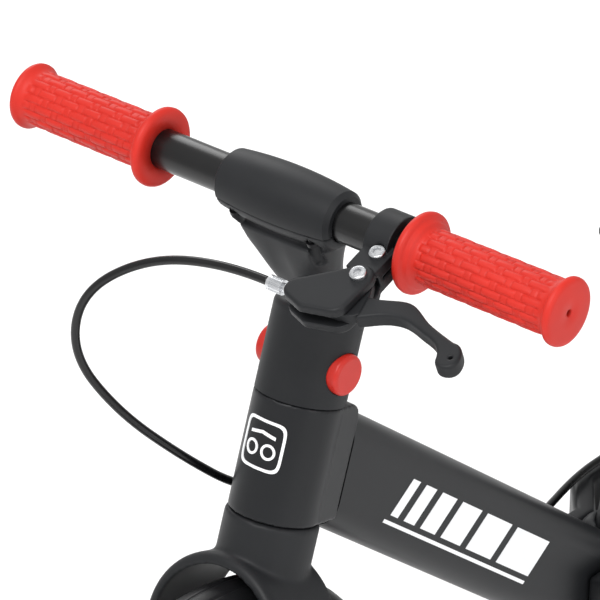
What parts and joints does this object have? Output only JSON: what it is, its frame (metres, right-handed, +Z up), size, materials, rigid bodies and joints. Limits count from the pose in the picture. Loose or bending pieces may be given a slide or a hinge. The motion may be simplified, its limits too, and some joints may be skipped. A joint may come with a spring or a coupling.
{
  "type": "balance bike",
  "caption": "Child's balance bike with a sloping hollow beam frame, forked front wheel, flat bar with rubber grips, hand brake lever, cable, rear drum brake and adjustable saddle.",
  "frame": {"origin": "on the ground, midway between the two axles, in the plane of the wheels", "axes": "+Z up, -Y forward, +X to the rider's left"},
  "size_m": [0.376, 0.86, 0.5391],
  "materials": {
    "paint_black": "satin powder coat",
    "plastic_black": "fine moulded grain",
    "bar_black": "semi-gloss paint",
    "rubber_red": "matte moulded rubber",
    "plastic_red": "smooth moulded",
    "tyre_rubber": "smooth rubber",
    "wheel_plastic": "moulded nylon",
    "zinc_steel": "zinc plated",
    "black_steel": "black oxide",
    "alloy": "knurled, bright",
    "nylon_white": "natural nylon",
    "cable_black": "extruded jacket",
    "saddle_cover": "soft synthetic leather",
    "badge_white": "printed white",
    "brake_lining": "pressed lining"
  },
  "bodies": {
    "frame": {"head_casting": "paint_black", "head_badge": "badge_white", "head_bush_upper": "nylon_white", "head_bush_lower": "nylon_white", "beam": "paint_black", "frame_knee": "paint_black", "seat_tube": "paint_black", "rear_stay_left": "paint_black", "rear_stay_right": "paint_black", "stay_bolts": "zinc_steel", "seat_clamp": "alloy", "clamp_skewer": "zinc_steel", "brake_cable": "cable_black", "cable_clips": "plastic_black", "cable_stop": "zinc_steel", "brake_wire": "zinc_steel", "brake_plate": "zinc_steel", "brake_shoes": "brake_lining", "cam_spring": "zinc_steel", "rear_axle": "zinc_steel", "rear_spacers": "zinc_steel", "rear_nuts": "zinc_steel"},
    "steering": {"steerer_tube": "zinc_steel", "fork_crown": "plastic_black", "fork_legs": "plastic_black", "stem_collar": "plastic_black", "button_springs": "zinc_steel", "stem_neck": "plastic_black", "stem_cap": "plastic_black", "stem_screws": "black_steel", "handlebar": "bar_black", "grip_left": "rubber_red", "grip_right": "rubber_red", "lever_bracket": "plastic_black", "lever_screws": "zinc_steel", "lever_spring": "zinc_steel", "front_axle": "zinc_steel", "front_spacers": "zinc_steel", "front_nuts": "zinc_steel"},
    "wheel_front": {"front_tyre": "tyre_rubber", "front_wheel": "wheel_plastic", "front_bearings": "zinc_steel"},
    "wheel_rear": {"rear_tyre": "tyre_rubber", "rear_wheel": "wheel_plastic", "rear_bearings": "zinc_steel", "brake_drum": "zinc_steel"},
    "hand_lever": {"brake_lever": "plastic_black", "cable_nipple": "zinc_steel"},
    "cam_lever": {"brake_cam": "zinc_steel", "brake_arm": "zinc_steel", "wire_anchor": "zinc_steel"},
    "saddle": {"seat_post": "zinc_steel", "saddle_bracket": "plastic_black", "saddle_bolts": "zinc_steel", "saddle_shell": "plastic_black", "saddle_pad": "saddle_cover"},
    "lock_left": {"button_left": "plastic_red"},
    "lock_right": {"button_right": "plastic_red"},
    "quick_release": {"clamp_lever": "alloy"},
    "adjuster": {"barrel_adjuster": "alloy"}
  },
  "joints": [
    {"name": "steering_turn", "type": "hinge", "parent": "frame", "child": "steering", "pos_m": [0, -0.19665, 0.39205], "axis": [0, 0.3256, 0.9455], "range_deg": [-45, 45], "deforming": ["brake_cable"]},
    {"name": "front_roll", "type": "hinge", "parent": "steering", "child": "wheel_front", "pos_m": [0, -0.28, 0.15], "axis": [1, 0, 0], "continuous": true},
    {"name": "rear_roll", "type": "hinge", "parent": "frame", "child": "wheel_rear", "pos_m": [0, 0.28, 0.15], "axis": [1, 0, 0], "continuous": true},
    {"name": "lever_pull", "type": "hinge", "parent": "steering", "child": "hand_lever", "pos_m": [0.0779, -0.23831, 0.50447], "axis": [0, -0.3584, 0.9336], "range_deg": [0, 18], "stiffness_Nm_per_rad": 0.6, "springref_deg": -8.59},
    {"name": "cam_turn", "type": "hinge", "parent": "frame", "child": "cam_lever", "pos_m": [-0.044, 0.28, 0.174], "axis": [1, 0, 0], "range_deg": [0, 14.5], "stiffness_Nm_per_rad": 0.2, "springref_deg": -8.59, "deforming": ["brake_wire"]},
    {"name": "lock_left_press", "type": "slide", "parent": "steering", "child": "lock_left", "axis": [-1, 0, 0], "range_m": [0, 0.003], "stiffness_N_per_m": 400, "springref_m": -0.002},
    {"name": "lock_right_press", "type": "slide", "parent": "steering", "child": "lock_right", "axis": [1, 0, 0], "range_m": [0, 0.003], "stiffness_N_per_m": 400, "springref_m": -0.002},
    {"name": "seat_height", "type": "slide", "parent": "frame", "child": "saddle", "axis": [0, 0.2588, 0.9659], "range_m": [0, 0.045]},
    {"name": "quick_release_turn", "type": "hinge", "parent": "frame", "child": "quick_release", "pos_m": [0.0169, 0.15944, 0.26122], "axis": [0, 0.2588, 0.9659], "range_deg": [0, 120]},
    {"name": "adjuster_turn", "type": "hinge", "parent": "steering", "child": "adjuster", "pos_m": [0.035, -0.25614, 0.49762], "axis": [1, 0, 0], "range_deg": [-180, 180]}
  ],
  "couplings": [
    {"joint": "cam_turn", "follows": "lever_pull", "ratio": 0.8}
  ]
}
